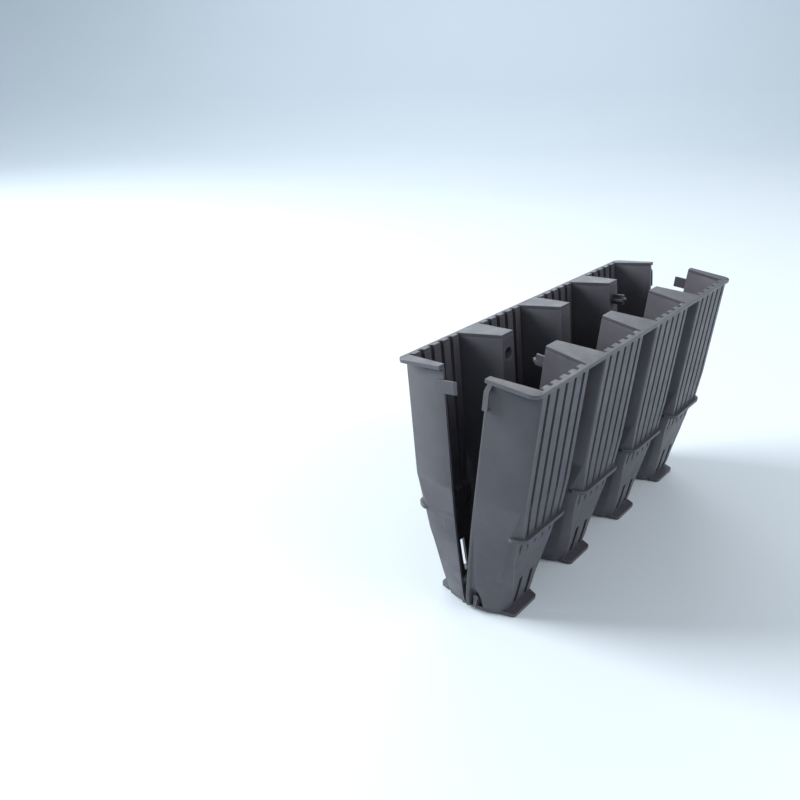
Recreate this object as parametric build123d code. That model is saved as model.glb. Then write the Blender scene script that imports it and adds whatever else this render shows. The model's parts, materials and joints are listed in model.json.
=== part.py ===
"""Hinged four-cell root-trainer book: a deep seedling cell strip in two halves.

Millimetres, +Z up.  X runs along the row of cells, Y across the book, and the
origin is on the ground under the middle of the book.  The book is shown part
open: each half leans out by OPEN_ANGLE about a living hinge along its bottom.

One half is described closed, in its own frame: x along the book, y outwards
from the parting plane (y = 0), z up from the underside of the feet.  Half A
is that half at +Y.  Half B is the same moulding turned 180 degrees about Z.
"""
from build123d import *
import os
from math import sin, cos, radians

# ---- the book -------------------------------------------------------------
LENGTH = 210.0            # over the rim at the parting plane
HEIGHT = 120.0            # closed, foot to rim
RIM_REACH = 23.7          # parting plane to the rim's long outer edge
RIM_THICK = 1.8
RIM_CORNER = 4.0
RIM_END_SET_BACK = 0.9    # the rim's end is this much shorter at its outer corner
CELLS = 4
CELL_PITCH = 53.0
WALL = 1.25
WEB = 1.2                 # flat strip that closes a partition at the parting plane
FACE_GAP = 0.05           # each half stops this far short of the parting plane
OPEN_ANGLE = 5.4          # lean of each half as the book stands
CORNER_STEPS = 4

# ---- corrugated long wall -------------------------------------------------
GROOVES = 5
GROOVE_PITCH = 7.1
GROOVE_WIDTH = 2.3
GROOVE_DRAFT = 0.25       # each groove flank leans by this much

# ---- living hinge ---------------------------------------------------------
HINGE_Z = 0.6             # hinge axis above the underside of the feet
HINGE_R = 0.6
HINGE_CLEARANCE = 0.05    # each rail turns about the strip
RAIL_DEPTH = 3.0
RAIL_Z = 0.7
RAIL_HALF_LENGTH = 96.8
RAIL_NOTCH = 0.8          # each drain cuts this far into the rail
LUG_Y = 3.9
LUG_STEM = 1.6
LUG_HEAD_R = 1.25
LUG_TOP = 8.6
LUG_REACH = 97.4          # outer face of a lug, from the middle of the book
LUG_LENGTH = 6.0          # before it is trimmed to the end wall
HOLLOW_START = 1.8        # the hollow behind a lug is deepest here
HOLLOW_FLANK = 1.4        # and climbs out over this width
HOLLOW_SHARE = 0.75       # from this share of its full depth
HEEL_Y = 6.0              # inside this line the feet are cut away below, so the book opens wide
HEEL_RISE = 0.7

# ---- feet, fins and drain slots -------------------------------------------
FOOT_THICK = 1.8
FOOT_REACH = 20.9
FOOT_HALF_WIDTH = 10.4
FOOT_NECK = (11.2, 16.6)  # where the foot leaves the cell
FOOT_CORNER = 2.3
FOOT_ROUND = 0.5          # the underside is drawn in by this much at the cell
DRAIN_HALF_WIDTH = 7.5
DRAIN_DEPTH = 7.5
DRAIN_CORNER = 2.0
FIN_Z = 46.9
FIN_THICK = 1.8
SLOT_WIDTH = 3.1
SLOT_OFFSET = 4.5
SLOT_BOTTOM = 3.2
SLOT_TOP = 19.5
SLOT_CUT_Y = 5.0          # the slots are cut through everything beyond this line

# ---- latches --------------------------------------------------------------
TONGUE_Z = (107.6, 113.4)
TONGUE_THICK = 0.85
TONGUE_FACE = 103.5       # outer face of the tongue, from the middle of the book
TONGUE_REACH = 6.9        # past the parting plane
TONGUE_ROOT = 2.1         # the tongue runs back this far along its own end wall
TONGUE_HEEL = (3.0, 0.3)  # length into the wall, distance from the parting plane
TONGUE_BEVEL = (1.3, 0.45)
CATCH_Z = (105.8, 114.6)  # the upright bar
CATCH_BAR = 1.0
CATCH_FACE = 104.7
CATCH_WIDTH = 2.5
CATCH_RISE = 2.3          # the upper arm climbs this much on its way to the wall
CATCH_LENGTH = 6.0        # before it is trimmed to the end wall
CATCH_FILLET = 0.7        # share of the bar left under the upper arm's inner corner
PEG_Z = 110.2
PEG_LENGTH = 6.2
PEG_ACROSS = 5.2
PEG_RIB = 1.1
PEG_NUB = (0.95, 0.3, 1.5)    # radius at the ribs, radius at the point, length
SOCKET_OUTER_R = 3.4
SOCKET_BORE_R = 2.9
SOCKET_DEPTH = 8.4

RIM_UNDER = HEIGHT - RIM_THICK
CELL_CENTRES = [(k - (CELLS - 1) / 2) * CELL_PITCH for k in range(CELLS)]
PARTITION_CENTRES = [(k - (CELLS - 2) / 2) * CELL_PITCH for k in range(CELLS - 1)]


def between(a, b, share):
    return (a[0] + share * (b[0] - a[0]), a[1] + share * (b[1] - a[1]))


class Level:
    """Outer outline of one cell at a height, measured from the cell's centre line."""

    def __init__(self, z, mouth, corner, shoulder, groove, recess=0.0, recess_end=3.6, squeeze=1.0,
                 fullness=0.6):
        self.z = z
        self.mouth = mouth            # half width at the parting plane
        self.corner = corner          # side wall meets the corner facet
        self.shoulder = shoulder      # corner facet meets the long wall
        self.groove = groove          # depth of the grooves
        self.recess = recess          # depth of the hollow beside an end wall's parting edge
        self.recess_end = recess_end  # where that hollow runs out on the end wall
        self.squeeze = squeeze        # grooves draw together as the cell narrows
        self.fullness = fullness      # 0 leaves a flat facet between side and long wall, 1 fills the corner

    def side_x(self, y):
        """The side wall's outer face at a distance y from the parting plane."""
        return self.mouth + (self.corner[0] - self.mouth) * y / self.corner[1]

    def inner_corner(self):
        return (self.corner[0] - WALL, self.corner[1] - WALL / 2)

    def inner_shoulder(self):
        return (min(self.shoulder[0] - WALL / 3, self.inner_corner()[0]), self.shoulder[1] - WALL)

    def corner_curve(self, inner=False):
        """Rounded corner from the long wall's shoulder to the side wall."""
        start = self.inner_shoulder() if inner else self.shoulder
        end = self.inner_corner() if inner else self.corner
        meet = (self.side_x(start[1]) - (WALL if inner else 0), start[1])
        middle = between(start, end, 0.5)
        pull = between(middle, meet, self.fullness)
        steps = [k / CORNER_STEPS for k in range(CORNER_STEPS + 1)]
        return [between(between(start, pull, t), between(pull, end, t), t) for t in steps]


LEVELS = [
    Level(FOOT_THICK, 17.7, (13.6, 12.4), (9.4, 16.3), 0.0, 2.9, 7.2, 0.53, fullness=0.3),
    Level(3.6, 19.2, (14.0, 12.8), (9.4, 16.8), 0.0, 3.5, 7.2, 0.53, fullness=0.3),
    Level(8.0, 20.2, (14.7, 13.6), (9.4, 17.5), 0.0, 3.4, 6.8, 0.53, fullness=0.3),
    Level(13.0, 20.6, (15.4, 14.4), (9.5, 18.0), 0.0, 1.2, 4.6, 0.53, fullness=0.3),
    Level(20.0, 21.1, (16.3, 15.3), (11.4, 18.6), 0.0, 0.7, 3.8, 0.64, fullness=0.3),
    Level(36.0, 22.1, (18.6, 16.9), (16.0, 19.9), 0.0, 0.35, 3.6, 0.90, fullness=0.3),
    Level(39.0, 22.25, (18.8, 17.1), (16.3, 20.15), 1.1, 0.2, squeeze=0.90, fullness=0.3),
    Level(FIN_Z - 1.4, 22.6, (19.4, 17.6), (16.8, 20.8), 1.6, 0.02, squeeze=0.90, fullness=0.3),
    Level(FIN_Z, 22.7, (19.3, 17.8), (15.9, 22.5), 1.6, 0.02, squeeze=0.90, fullness=0.3),
    Level(FIN_Z + FIN_THICK, 22.7, (19.3, 17.8), (15.9, 22.5), 1.6, 0.02, squeeze=0.90, fullness=0.3),
    Level(64.0, 22.9, (19.2, 21.9), (18.1, 22.8), 1.8),
    Level(RIM_UNDER, 23.0, (19.2, 22.2), (18.2, 23.1), 1.8),
]
FIN_LEVEL = LEVELS[8]
TOP_LEVEL = LEVELS[-1]
FIN_EDGE = [(14.8, 24.6), (16.4, 24.1), (17.9, 22.8), (19.2, 20.9), (20.0, 18.9)]  # round a corner
FIN_FADE_Y = 16.4         # the fin runs out on the side wall here


def groove_centres():
    return [(k - (GROOVES - 1) / 2) * GROOVE_PITCH for k in range(GROOVES)]


def long_wall_outer(level):
    """Outer face of the long wall, from one shoulder to the other."""
    land = level.shoulder[1]
    floor = land - level.groove
    half = GROOVE_WIDTH / 2
    flat = half - GROOVE_DRAFT
    points = [(-level.shoulder[0], land)]
    for x in groove_centres():
        for dx, y in ((-half, land), (-flat, floor), (flat, floor), (half, land)):
            points.append(((x + dx) * level.squeeze, y))
    return points + [(level.shoulder[0], land)]


def long_wall_inner(level):
    """Inner face of the long wall: a ridge behind each groove, a notch behind each land."""
    x_end, notch = level.inner_shoulder()
    ridge = notch - level.groove
    half = GROOVE_WIDTH / 2 + WALL
    flat = half - GROOVE_DRAFT
    points = [(-x_end, notch)]
    for x in groove_centres():
        for dx, y in ((-half, notch), (-flat, ridge), (flat, ridge), (half, notch)):
            points.append(((x + dx) * level.squeeze, y))
    return points + [(x_end, notch)]


def side_outer(level):
    """Outer face of a side wall from the long wall's shoulder to the web of its partition."""
    return level.corner_curve() + [(level.side_x(WEB), WEB)]


def side_inner(level):
    return [(level.mouth - WALL, FACE_GAP)] + level.corner_curve(inner=True)[::-1]


def plain_end_outer(level):
    """Outer face of the end wall that carries the latch tongue."""
    return level.corner_curve() + [(level.mouth, FACE_GAP)]


def hollow_end_outer(level):
    """Outer face of the end wall with the catch: a flange at the parting edge, then a hollow beside it."""
    stop = level.recess_end
    floor = stop - HOLLOW_FLANK
    return level.corner_curve() + [
        (level.side_x(stop), stop), (level.side_x(floor) - HOLLOW_SHARE * level.recess, floor),
        (level.side_x(HOLLOW_START) - level.recess, HOLLOW_START), (level.side_x(WEB), WEB),
        (level.mouth, FACE_GAP)]


def hollow_end_inner(level):
    stop = level.recess_end
    floor = stop - HOLLOW_FLANK
    return [(level.mouth - WALL - level.recess, FACE_GAP),
            (level.side_x(floor) - WALL - HOLLOW_SHARE * level.recess, floor + WALL / 2),
            (level.side_x(stop) - WALL, stop + WALL / 2)] + level.corner_curve(inner=True)[::-1]


def section(points, z, centre=0.0, flip=1):
    return Wire.make_polygon([Vector(centre + flip * x, y, z) for x, y in points], close=True)


def skin(outlines):
    """Straight-ruled solid through one closed outline per level."""
    return Solid.make_loft(outlines, True)


def slab(points, z0, z1, centre=0.0, flip=1):
    face = Face(Wire.make_polygon([Vector(centre + flip * x, y, z0) for x, y in points], close=True))
    return Solid.extrude(face, Vector(0, 0, z1 - z0))


def box(x0, x1, y0, y1, z0, z1):
    return Pos(min(x0, x1), y0, z0) * Box(abs(x1 - x0), y1 - y0, z1 - z0, align=(Align.MIN,) * 3)


def corner_fin(centre, flip):
    """The fin as it turns the corner of a cell and dies out on the side wall."""
    level = FIN_LEVEL
    outer, inner = level.corner_curve(), level.corner_curve(inner=True)
    root = [between(a, b, 0.5) for a, b in zip(outer, inner)]
    fade = (level.side_x(FIN_FADE_Y) - WALL / 4, FIN_FADE_Y)
    points = [fade] + root[::-1] + [level.shoulder] + FIN_EDGE
    return slab(points, FIN_Z, FIN_Z + FIN_THICK, centre, flip)


def cell_wall(centre):
    """Corrugated long wall of one half cell, with its fin and two drain slots."""
    wall = skin([section(long_wall_inner(v) + long_wall_outer(v)[::-1], v.z, centre) for v in LEVELS])
    level = FIN_LEVEL
    root = [between(a, b, 0.5) for a, b in zip(long_wall_outer(level), long_wall_inner(level))]
    edge = [level.shoulder, FIN_EDGE[0]]
    fin = slab(root + edge + [(-x, y) for x, y in edge[::-1]], FIN_Z, FIN_Z + FIN_THICK, centre)
    wall = wall + fin
    for side in (-1, 1):
        x0 = centre + side * SLOT_OFFSET - SLOT_WIDTH / 2
        wall = wall - box(x0, x0 + SLOT_WIDTH, SLOT_CUT_Y, RIM_REACH, SLOT_BOTTOM, SLOT_TOP)
    return wall


def partition(centre):
    """Hollow V between two cells: two side walls and the web that joins them."""
    left, right = centre - CELL_PITCH / 2, centre + CELL_PITCH / 2

    def outline(v):
        inner, outer = side_inner(v), side_outer(v)
        points = [(left + x, y) for x, y in inner] + [(left + x, y) for x, y in outer]
        mirror = [(right - x, y) for x, y in inner] + [(right - x, y) for x, y in outer]
        return points + mirror[::-1]

    shell = skin([section(outline(v), v.z) for v in LEVELS])
    return shell + corner_fin(left, 1) + corner_fin(right, -1)


def end_wall(centre, flip, inner, outer):
    shell = skin([section(inner(v) + outer(v), v.z, centre, flip) for v in LEVELS])
    return shell + corner_fin(centre, flip)


def rim():
    """Flat comb-shaped rim with a castellated mouth for each half cell."""
    end = LENGTH / 2
    set_back = end - RIM_END_SET_BACK
    plate = Face(Wire.make_polygon([Vector(*p) for p in (
        (-end, FACE_GAP, RIM_UNDER), (-set_back, RIM_REACH, RIM_UNDER),
        (set_back, RIM_REACH, RIM_UNDER), (end, FACE_GAP, RIM_UNDER))], close=True))
    corners = [v for v in plate.vertices() if v.Y > RIM_REACH / 2]
    plate = plate.fillet_2d(RIM_CORNER, corners)
    body = Solid.extrude(plate, Vector(0, 0, RIM_THICK))
    inner = long_wall_inner(TOP_LEVEL)
    mouth_x = TOP_LEVEL.mouth - WALL
    corner = TOP_LEVEL.corner_curve(inner=True)
    side = corner[1:] + [(mouth_x, FACE_GAP), (mouth_x, -1)]
    mouth = [(-x, y) for x, y in side[::-1]] + inner + side
    for x in CELL_CENTRES:
        body = body - slab(mouth, RIM_UNDER - 1, HEIGHT + 1, x)
    return body


def foot(centre):
    """Foot plate under one half cell, with the open drain at the middle of the cell."""
    level = LEVELS[0]
    cell = [(level.side_x(RAIL_DEPTH), RAIL_DEPTH)] + level.corner_curve()[:1:-1]
    turns = [radians(90 * k / 3) for k in range(4)]
    round_x, round_y = FOOT_HALF_WIDTH - FOOT_CORNER, FOOT_REACH - FOOT_CORNER
    tip = [FOOT_NECK] + [(round_x + FOOT_CORNER * cos(t), round_y + FOOT_CORNER * sin(t)) for t in turns]
    top = cell + tip
    under = [(x - FOOT_ROUND, y) for x, y in cell] + tip
    plate = skin([section(half + [(-x, y) for x, y in half[::-1]], z, centre)
                  for half, z in ((under, 0), (top, FOOT_THICK))])
    drain = box(centre - DRAIN_HALF_WIDTH, centre + DRAIN_HALF_WIDTH, RAIL_DEPTH - DRAIN_CORNER,
                RAIL_DEPTH + DRAIN_DEPTH, -1, FOOT_THICK + 1)
    drain = fillet([e for e in drain.edges().filter_by(Axis.Z) if e.center().Y > RAIL_DEPTH], DRAIN_CORNER)
    heel = box(centre - CELL_PITCH / 2, centre + CELL_PITCH / 2, 0, HEEL_Y, -1, HEEL_RISE)
    return plate - drain - heel


def hinge_rail():
    """Strip that joins the cells of a half along the bottom and carries the living hinge."""
    rail = box(-RAIL_HALF_LENGTH, RAIL_HALF_LENGTH, FACE_GAP, RAIL_DEPTH, RAIL_Z, FOOT_THICK)
    groove = Pos(0, 0, HINGE_Z) * Rot(0, 90, 0) * Cylinder(HINGE_R + HINGE_CLEARANCE, LENGTH)
    rail = rail - groove
    for x in CELL_CENTRES:
        rail = rail - box(x - DRAIN_HALF_WIDTH, x + DRAIN_HALF_WIDTH, RAIL_DEPTH - RAIL_NOTCH, RAIL_DEPTH + 1,
                          RAIL_Z - 1, FOOT_THICK + 1)
    return rail


def hinge_lug(wall):
    """Small round-headed lug that stands in the hollow of an end wall, at the end of the hinge."""
    back = LUG_REACH - LUG_LENGTH
    head_z = LUG_TOP - LUG_HEAD_R
    stem = box(back, LUG_REACH, LUG_Y - LUG_STEM / 2, LUG_Y + LUG_STEM / 2, FOOT_THICK, head_z)
    head = Rot(0, 90, 0) * Cylinder(LUG_HEAD_R, LUG_LENGTH)
    head = Pos(LUG_REACH - LUG_LENGTH / 2, LUG_Y, head_z) * head
    return max((stem + head - wall).solids(), key=lambda s: s.center().X)


def latch_tongue(wall):
    """Flat tongue on one end wall that reaches past the parting plane into the catch."""
    z0, z1 = TONGUE_Z
    inner_face = TONGUE_FACE - TONGUE_THICK
    length, depth = TONGUE_BEVEL
    plan = [(-inner_face, TONGUE_ROOT), (-TONGUE_FACE, TONGUE_ROOT), (-TONGUE_FACE, length - TONGUE_REACH),
            (depth - TONGUE_FACE, -TONGUE_REACH), (-inner_face, -TONGUE_REACH)]
    plate = slab(plan, z0, z1)
    heel_length, heel_y = TONGUE_HEEL
    heel = box(-inner_face, heel_length - inner_face, heel_y, TONGUE_ROOT, z0, z1)
    return max((plate + heel - wall).solids(), key=lambda s: s.volume)


def latch_catch(wall):
    """Upright bar that stands off the other end wall on two arms; the tongue slides behind it."""
    z0, z1 = CATCH_Z
    inner = CATCH_FACE - CATCH_BAR
    root = CATCH_FACE - CATCH_LENGTH
    rise = CATCH_RISE / (CATCH_FACE - TOP_LEVEL.mouth - CELL_CENTRES[-1])
    profile = [(root, z0), (CATCH_FACE, z0), (CATCH_FACE, z1), (root, z1 + rise * CATCH_LENGTH),
               (root, z1 + rise * (CATCH_LENGTH - CATCH_BAR) - CATCH_BAR),
               (inner, z1 - CATCH_BAR * CATCH_FILLET),
               (inner, z0 + CATCH_BAR), (root, z0 + CATCH_BAR)]
    face = Face(Wire.make_polygon([Vector(x, FACE_GAP, z) for x, z in profile], close=True))
    staple = Solid.extrude(face, Vector(0, CATCH_WIDTH - FACE_GAP, 0))
    staple = staple & box(root, CATCH_FACE, FACE_GAP, CATCH_WIDTH, z0, RIM_UNDER)
    return max((staple - wall).solids(), key=lambda s: s.center().X)


def locating_peg(x):
    """Square-ended cross of two ribs with a pointed nub, on a partition web."""
    length = PEG_LENGTH + FACE_GAP
    ribs = Box(PEG_ACROSS, length, PEG_RIB) + Box(PEG_RIB, length, PEG_ACROSS)
    ribs = Pos(0, FACE_GAP - length / 2, 0) * ribs
    radius, point, nub_length = PEG_NUB
    nub = Pos(0, -PEG_LENGTH - nub_length / 2, 0) * Rot(90, 0, 0) * Cone(radius, point, nub_length)
    return Pos(x, 0, PEG_Z) * (ribs + nub)


def socket_plug(radius, depth, x):
    return Pos(x, FACE_GAP + depth / 2, PEG_Z) * Rot(90, 0, 0) * Cylinder(radius, depth)


def peg_socket(x):
    """Short tube behind the web that takes the mating peg."""
    return socket_plug(SOCKET_OUTER_R, SOCKET_DEPTH, x) - socket_plug(SOCKET_BORE_R, SOCKET_DEPTH + 2, x)


def build_half():
    """Every sub-part of one closed half, keyed by what it is and its place along the half."""
    parts = {("rim", None): rim()}
    for k, x in enumerate(CELL_CENTRES):
        parts["cell_wall", k] = cell_wall(x)
        parts["foot", k] = foot(x)
    for k, x in enumerate(PARTITION_CENTRES):
        parts["partition", k] = partition(x)
    socket_x, peg_x = PARTITION_CENTRES[0], PARTITION_CENTRES[-1]
    parts["partition", 0] = parts["partition", 0] - socket_plug(SOCKET_OUTER_R, WEB * 3, socket_x)
    near = end_wall(CELL_CENTRES[0], -1, side_inner, plain_end_outer)
    far = end_wall(CELL_CENTRES[-1], 1, hollow_end_inner, hollow_end_outer)
    parts["end_wall", 0] = near
    parts["end_wall", 1] = far
    parts["hinge_lug", 1] = hinge_lug(far)
    parts["hinge_rail", None] = hinge_rail()
    parts["latch_tongue", None] = latch_tongue(near)
    parts["latch_catch", None] = latch_catch(far)
    parts["locating_peg", None] = locating_peg(peg_x)
    parts["peg_socket", None] = peg_socket(socket_x)
    return parts


def node_name(kind, place, letter):
    """Cells and partitions count from the -X end on both halves; pieces at the ends say which."""
    if place is None:
        return f"{kind}_{letter}"
    count = {"cell_wall": CELLS, "foot": CELLS, "partition": CELLS - 1}.get(kind, 2)
    if letter == "b":
        place = count - 1 - place
    if kind in ("end_wall", "hinge_lug"):
        return f"{kind}_{letter}_{('near', 'far')[place]}"
    return f"{kind}_{letter}{place + 1}"


# ---- place both halves at rest and write the nodes --------------------------
axis_height = FOOT_REACH * sin(radians(OPEN_ANGLE)) + HINGE_Z * cos(radians(OPEN_ANGLE))
lean = Pos(0, 0, axis_height) * Rot(-OPEN_ANGLE, 0, 0) * Pos(0, 0, -HINGE_Z)
turn = {"a": lean, "b": Rot(0, 0, 180) * lean}

nodes = {}
half = build_half()
for letter, place in turn.items():
    for (kind, index), shape in half.items():
        nodes[node_name(kind, index, letter)] = place * shape
nodes["living_hinge"] = Pos(0, 0, axis_height) * Rot(0, 90, 0) * Cylinder(HINGE_R, 2 * RAIL_HALF_LENGTH)

os.makedirs("parts", exist_ok=True)
for name, shape in nodes.items():
    export_step(shape, f"parts/{name}.step")
print(len(nodes), "nodes; hinge axis", round(axis_height, 3), "mm above the ground")
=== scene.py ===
"""Looks for the hinged root-trainer book: moulded charcoal polypropylene on a pale studio floor.

Every CAD node keeps its own mesh.  The nodes get a fine moulded edge and a procedural plastic.
Metres, in the shared frame: X along the cells, half A at +Y, Z up.
"""

import json
from math import cos, radians, sin

import bpy
from mathutils import Matrix, Vector

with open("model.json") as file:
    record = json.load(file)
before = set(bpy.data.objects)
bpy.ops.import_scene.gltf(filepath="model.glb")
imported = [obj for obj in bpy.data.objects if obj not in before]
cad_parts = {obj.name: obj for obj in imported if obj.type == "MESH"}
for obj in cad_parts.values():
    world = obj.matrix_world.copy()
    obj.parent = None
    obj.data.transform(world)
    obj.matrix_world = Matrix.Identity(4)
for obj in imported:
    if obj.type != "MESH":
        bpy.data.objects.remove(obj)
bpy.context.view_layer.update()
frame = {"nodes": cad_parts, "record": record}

# ---- camera -----------------------------------------------------------------
CAMERA_PLACE = (-0.3579, -0.1775, 0.2453)
CAMERA_AZIMUTH = 50.35      # degrees from +Y towards +X that the camera looks
CAMERA_DOWN = 23.75
CAMERA_ROLL = -0.963
CAMERA_LENS = 37.28         # mm on a 36 mm wide sensor

# ---- edges of the moulding ----------------------------------------------------
EDGE_RADIUS = 0.00022
EDGE_ANGLE = 28.0           # degrees; flatter turns stay sharp
EDGE_WEAR_AND_HIGHLIGHT_RADIUS = 0.0005   # width of the pale edge band, part rubbing wear and part painted highlight
WELD_DISTANCE = 1e-6

# ---- plastic, by material slot --------------------------------------------------
PLASTIC = (0.067, 0.0645, 0.0745)
# factors on PLASTIC per slot; the rim's 1.08 is painted sheen for the glancing shine on the rim tops
SHADE = {"rim": 1.08, "partition": 0.98, "end_wall": 1.02, "foot": 0.98, "hinge": 0.96,
         "latch": 1.06, "peg": 1.06}
SHINE = {"rim": 0.40, "latch": 0.42, "peg": 0.42, "foot": 0.48, "hinge": 0.46}
PLAIN_SHINE = 0.45
DUST = 0.5

# ---- light --------------------------------------------------------------------
FLOOR_COLOUR = (0.785, 0.845, 0.885)
# the backdrop's darker colour is painted shade for the light's fall-off away from the lamps
SHADED_BACKDROP_COLOUR = (0.56, 0.63, 0.69)
WORLD_COLOUR = (0.86, 0.93, 1.0)
WORLD_STRENGTH = 0.51
AREA_LIGHTS = {
    # name: place, aimed at, size, power, colour
    "soft window behind left": ((-0.66, 1.20, 0.76), (0, 0, 0.06), 0.75, 33.5, (0.93, 0.965, 1.0)),
    "window behind": ((1.82, 1.37, 1.36), (0, 0, 0.08), 1.6, 18.5, (0.92, 0.965, 1.0)),
    "fill in front": ((0.35, -1.35, 0.75), (0, 0, 0.05), 1.1, 11.5, (0.98, 0.98, 1.0)),
}


# ---- stage ----------------------------------------------------------------------
FLAT_RADIUS, BOWL_RADIUS, BOWL_HEIGHT = 1.7, 2.9, 1.3
BOWL_SEGMENTS, BOWL_RINGS = 96, 16
SHADE_FALL_START, SHADE_FALL_END = 0.25, 0.75   # the floor is painted darker, as painted shade for the light's fall-off, between these shares of the bowl's radius


# ---- materials ------------------------------------------------------------------
class Nodes:
    """Small helper for building a material's node tree in reading order."""

    def __init__(self, name):
        self.material = bpy.data.materials.new(name)
        self.material.use_nodes = True
        self.tree = self.material.node_tree
        self.shader = self.tree.nodes["Principled BSDF"]

    def add(self, kind, **inputs):
        node = self.tree.nodes.new(kind)
        for key, value in inputs.items():
            setattr(node, key, value)
        return node

    def link(self, out, into):
        self.tree.links.new(out, into)

    def coordinates(self):
        return self.add("ShaderNodeTexCoord").outputs["Object"]

    def noise(self, scale, detail=4.0, roughness=0.55, stretch=(1, 1, 1), distortion=0.0):
        mapping = self.add("ShaderNodeMapping")
        mapping.inputs["Scale"].default_value = stretch
        self.link(self.coordinates(), mapping.inputs["Vector"])
        noise = self.add("ShaderNodeTexNoise")
        noise.inputs["Scale"].default_value = scale
        noise.inputs["Detail"].default_value = detail
        noise.inputs["Roughness"].default_value = roughness
        noise.inputs["Distortion"].default_value = distortion
        self.link(mapping.outputs["Vector"], noise.inputs["Vector"])
        return noise.outputs["Fac"]

    def ramp(self, factor, *stops):
        """A colour ramp.  Each stop is (position, grey level or colour)."""
        ramp = self.add("ShaderNodeValToRGB")
        elements = ramp.color_ramp.elements
        while len(elements) < len(stops):
            elements.new(0.5)
        for element, (place, tone) in zip(elements, stops):
            element.position = place
            element.color = (*tone, 1) if isinstance(tone, tuple) else (tone, tone, tone, 1)
        self.link(factor, ramp.inputs["Fac"])
        return ramp.outputs["Color"]

    def scaled(self, value, factor):
        node = self.add("ShaderNodeMath", operation="MULTIPLY")
        self.link(value, node.inputs[0])
        node.inputs[1].default_value = factor
        return node.outputs["Value"]

    def edges(self, radius):
        """1 along outer and inner edges, 0 on the open faces; masks the pale edge band, part wear and part
        painted highlight.
        """
        rounded = self.add("ShaderNodeBevel", samples=4)
        rounded.inputs["Radius"].default_value = radius
        face = self.add("ShaderNodeNewGeometry")
        agree = self.add("ShaderNodeVectorMath", operation="DOT_PRODUCT")
        self.link(rounded.outputs["Normal"], agree.inputs[0])
        self.link(face.outputs["Normal"], agree.inputs[1])
        return self.ramp(agree.outputs["Value"], (0.86, 1.0), (0.985, 0.0))

    def mix(self, factor, low, high, blend="MIX"):
        node = self.add("ShaderNodeMix", data_type="RGBA", blend_type=blend)
        for value, socket in ((factor, node.inputs[0]), (low, node.inputs[6]), (high, node.inputs[7])):
            if isinstance(value, bpy.types.NodeSocket):
                self.link(value, socket)
            else:
                socket.default_value = value if socket.type == "VALUE" else (*value, 1)
        return node.outputs[2]

    def bump(self, height, strength, distance, normal=None):
        node = self.add("ShaderNodeBump")
        node.inputs["Strength"].default_value = strength
        node.inputs["Distance"].default_value = distance
        self.link(height, node.inputs["Height"])
        if normal is not None:
            self.link(normal, node.inputs["Normal"])
        return node.outputs["Normal"]


def moulded_plastic(name, tone, shine):
    """Charcoal polypropylene: spark-eroded grain, flow mottle, pale handling scuffs and dust, and pale edges
    that are part rubbing wear and part painted highlight.
    """
    m = Nodes(name)
    dark = tuple(0.86 * c for c in tone)
    light = tuple(min(1.0, 1.14 * c) for c in tone)
    mottle = m.ramp(m.noise(38, 5, 0.6), (0.32, dark), (0.68, light))
    scuff_and_highlight_tone = tuple(min(1.0, 2.3 * c + 0.03) for c in tone)
    patches = m.ramp(m.noise(70, 6, 0.7, distortion=0.6), (0.60, 0.0), (0.74, DUST * 0.28))
    dusty = m.mix(patches, mottle, scuff_and_highlight_tone)
    scratches = m.ramp(m.noise(420, 3, 0.5, stretch=(1, 0.35, 0.08)), (0.66, 0.0), (0.72, DUST * 0.24))
    scuffed = m.mix(scratches, dusty, scuff_and_highlight_tone)
    patchy = m.ramp(m.noise(160, 4, 0.6), (0.35, 0.30), (0.65, 0.75))
    # pale band along the edges: part rubbing wear, part painted highlight where the rounded edges catch the
    # light
    rubbed_and_highlit = m.mix(1.0, m.edges(EDGE_WEAR_AND_HIGHLIGHT_RADIUS), patchy, "MULTIPLY")
    colour = m.mix(rubbed_and_highlit, scuffed, scuff_and_highlight_tone)
    m.link(colour, m.shader.inputs["Base Color"])
    roughness = m.ramp(m.noise(120, 5, 0.6), (0.30, shine - 0.06), (0.72, shine + 0.10))
    m.link(roughness, m.shader.inputs["Roughness"])
    waves = m.bump(m.noise(22, 2, 0.4), 0.25, 0.0004)
    grain = m.bump(m.noise(5200, 2, 0.6), 0.22, 0.00005, waves)
    m.link(m.bump(scratches, 0.25, 0.00004, grain), m.shader.inputs["Normal"])
    m.shader.inputs["Specular IOR Level"].default_value = 0.5
    m.shader.inputs["IOR"].default_value = 1.49
    return m.material


def pale_floor():
    """Matt white paper, slightly uneven, painted darker where it rises into the backdrop as painted shade
    for the light's fall-off.
    """
    m = Nodes("pale floor")
    reach = m.add("ShaderNodeVectorMath", operation="LENGTH")
    m.link(m.coordinates(), reach.inputs[0])
    share = m.scaled(reach.outputs["Value"], 1 / BOWL_RADIUS)
    # painted shade: the floor darkens with distance towards the backdrop
    painted_falloff = m.ramp(share, (SHADE_FALL_START, FLOOR_COLOUR), (SHADE_FALL_END, SHADED_BACKDROP_COLOUR))
    patches = m.ramp(m.noise(3.0, 3, 0.5), (0.2, 0.97), (0.8, 1.0))
    m.link(m.mix(1.0, painted_falloff, patches, "MULTIPLY"), m.shader.inputs["Base Color"])
    m.shader.inputs["Roughness"].default_value = 0.85
    m.shader.inputs["Specular IOR Level"].default_value = 0.2
    m.link(m.bump(m.noise(900, 3, 0.6), 0.10, 0.0002), m.shader.inputs["Normal"])
    return m.material


def slot_material(slot):
    tone = tuple(SHADE.get(slot, 1.0) * c for c in PLASTIC)
    return moulded_plastic(f"polypropylene {slot}", tone, SHINE.get(slot, PLAIN_SHINE))


materials = {entry["slot"]: slot_material(entry["slot"]) for entry in frame["record"]["materials"]}
node_slot = {entry["node"]: entry["material_slot"] for entry in frame["record"]["subparts"]}

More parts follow.
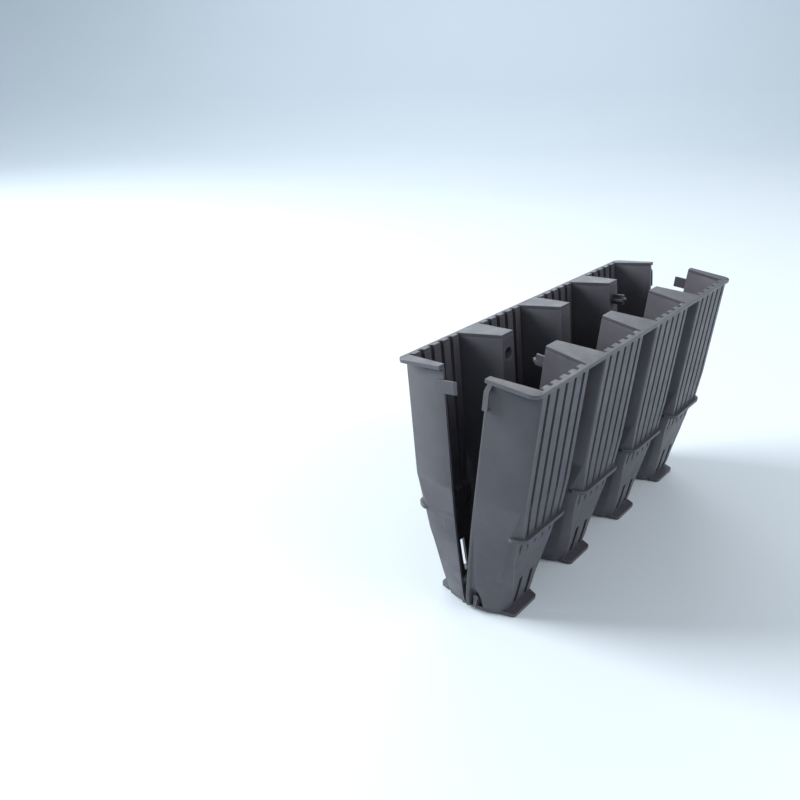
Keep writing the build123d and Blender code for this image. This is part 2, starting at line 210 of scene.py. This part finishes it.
for name, node in frame["nodes"].items():
    node.data.materials.clear()
    node.data.materials.append(materials[node_slot[name]])
    weld = node.modifiers.new("weld", "WELD")
    weld.merge_threshold = WELD_DISTANCE
    edge = node.modifiers.new("moulded edge", "BEVEL")
    edge.width = EDGE_RADIUS
    edge.segments = 2
    edge.limit_method = "ANGLE"
    edge.angle_limit = radians(EDGE_ANGLE)
    edge.use_clamp_overlap = True
    edge.harden_normals = True

# ---- floor: a shallow studio bowl, so no horizon shows ---------------------------


def studio_bowl():
    turns = [radians(90 * k / BOWL_RINGS) for k in range(BOWL_RINGS + 1)]
    rings = [(FLAT_RADIUS + (BOWL_RADIUS - FLAT_RADIUS) * sin(t), BOWL_HEIGHT * (1 - cos(t))) for t in turns]
    angles = [radians(360 * k / BOWL_SEGMENTS) for k in range(BOWL_SEGMENTS)]
    points = [(r * cos(t), r * sin(t), z) for r, z in rings for t in angles]
    faces = [list(range(BOWL_SEGMENTS))]
    for ring in range(BOWL_RINGS):
        for k in range(BOWL_SEGMENTS):
            low, high = ring * BOWL_SEGMENTS, (ring + 1) * BOWL_SEGMENTS
            step = (k + 1) % BOWL_SEGMENTS
            faces.append((low + k, high + k, high + step, low + step))
    mesh = bpy.data.meshes.new("studio floor")
    mesh.from_pydata(points, [], faces)
    mesh.polygons.foreach_set("use_smooth", [True] * len(mesh.polygons))
    return bpy.data.objects.new("studio floor", mesh)


floor = studio_bowl()
floor.data.materials.append(pale_floor())
bpy.context.scene.collection.objects.link(floor)

# ---- light ------------------------------------------------------------------------
world = bpy.data.worlds.new("studio")
world.use_nodes = True
world.node_tree.nodes["Background"].inputs["Color"].default_value = (*WORLD_COLOUR, 1)
world.node_tree.nodes["Background"].inputs["Strength"].default_value = WORLD_STRENGTH
bpy.context.scene.world = world

for name, (place, aim, size, power, colour) in AREA_LIGHTS.items():
    data = bpy.data.lights.new(name, "AREA")
    data.size = size
    data.energy = power
    data.color = colour
    lamp = bpy.data.objects.new(name, data)
    lamp.location = place
    lamp.rotation_euler = (Vector(aim) - Vector(place)).to_track_quat("-Z", "Y").to_euler()
    bpy.context.scene.collection.objects.link(lamp)

# ---- camera -----------------------------------------------------------------------
azimuth, down = radians(CAMERA_AZIMUTH), radians(CAMERA_DOWN)
look = Vector((sin(azimuth) * cos(down), cos(azimuth) * cos(down), -sin(down)))
right = look.cross(Vector((0, 0, 1))).normalized()
up = right.cross(look)
turn = Matrix((right, up, -look)).transposed() @ Matrix.Rotation(radians(CAMERA_ROLL), 3, "Z")
data = bpy.data.cameras.new("photo camera")
data.lens = CAMERA_LENS
data.sensor_width = 36
camera = bpy.data.objects.new("photo camera", data)
camera.matrix_world = Matrix.Translation(CAMERA_PLACE) @ turn.to_4x4()
bpy.context.scene.collection.objects.link(camera)
bpy.context.scene.camera = camera
bpy.context.scene.view_settings.view_transform = "Standard"
